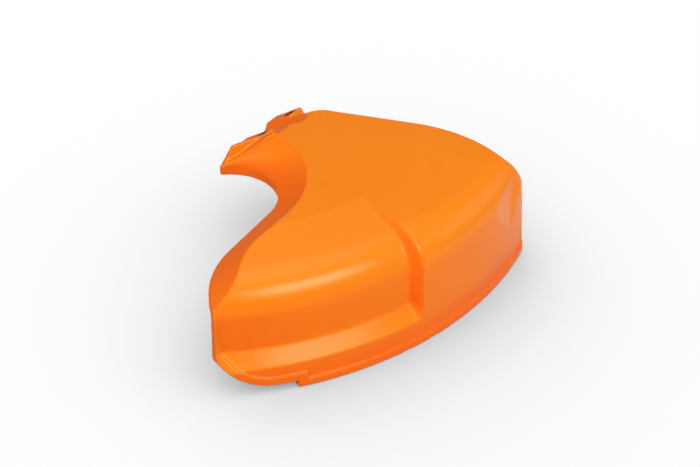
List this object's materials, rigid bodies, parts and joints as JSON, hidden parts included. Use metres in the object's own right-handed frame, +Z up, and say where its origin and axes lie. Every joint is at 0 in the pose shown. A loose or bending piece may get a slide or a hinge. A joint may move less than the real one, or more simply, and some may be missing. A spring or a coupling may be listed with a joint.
{
  "type": "trimmer blade guard",
  "caption": "One-piece moulded guard for a garden trimmer: flat deck over a curved skirt with a flared lip, a beaded rim and a tilted shaft seat with screw bosses.",
  "frame": {"origin": "under the middle of the guard, at rim level", "axes": "+Z up from the rim to the deck, -Y out through the middle of the skirt, +X along the skirt to the end away from the scallop"},
  "size_m": [0.2086, 0.1702, 0.066],
  "materials": {
    "orange_plastic": "satin moulded plastic"
  },
  "bodies": {
    "root": {"blade_guard": "orange_plastic"}
  },
  "joints": []
}
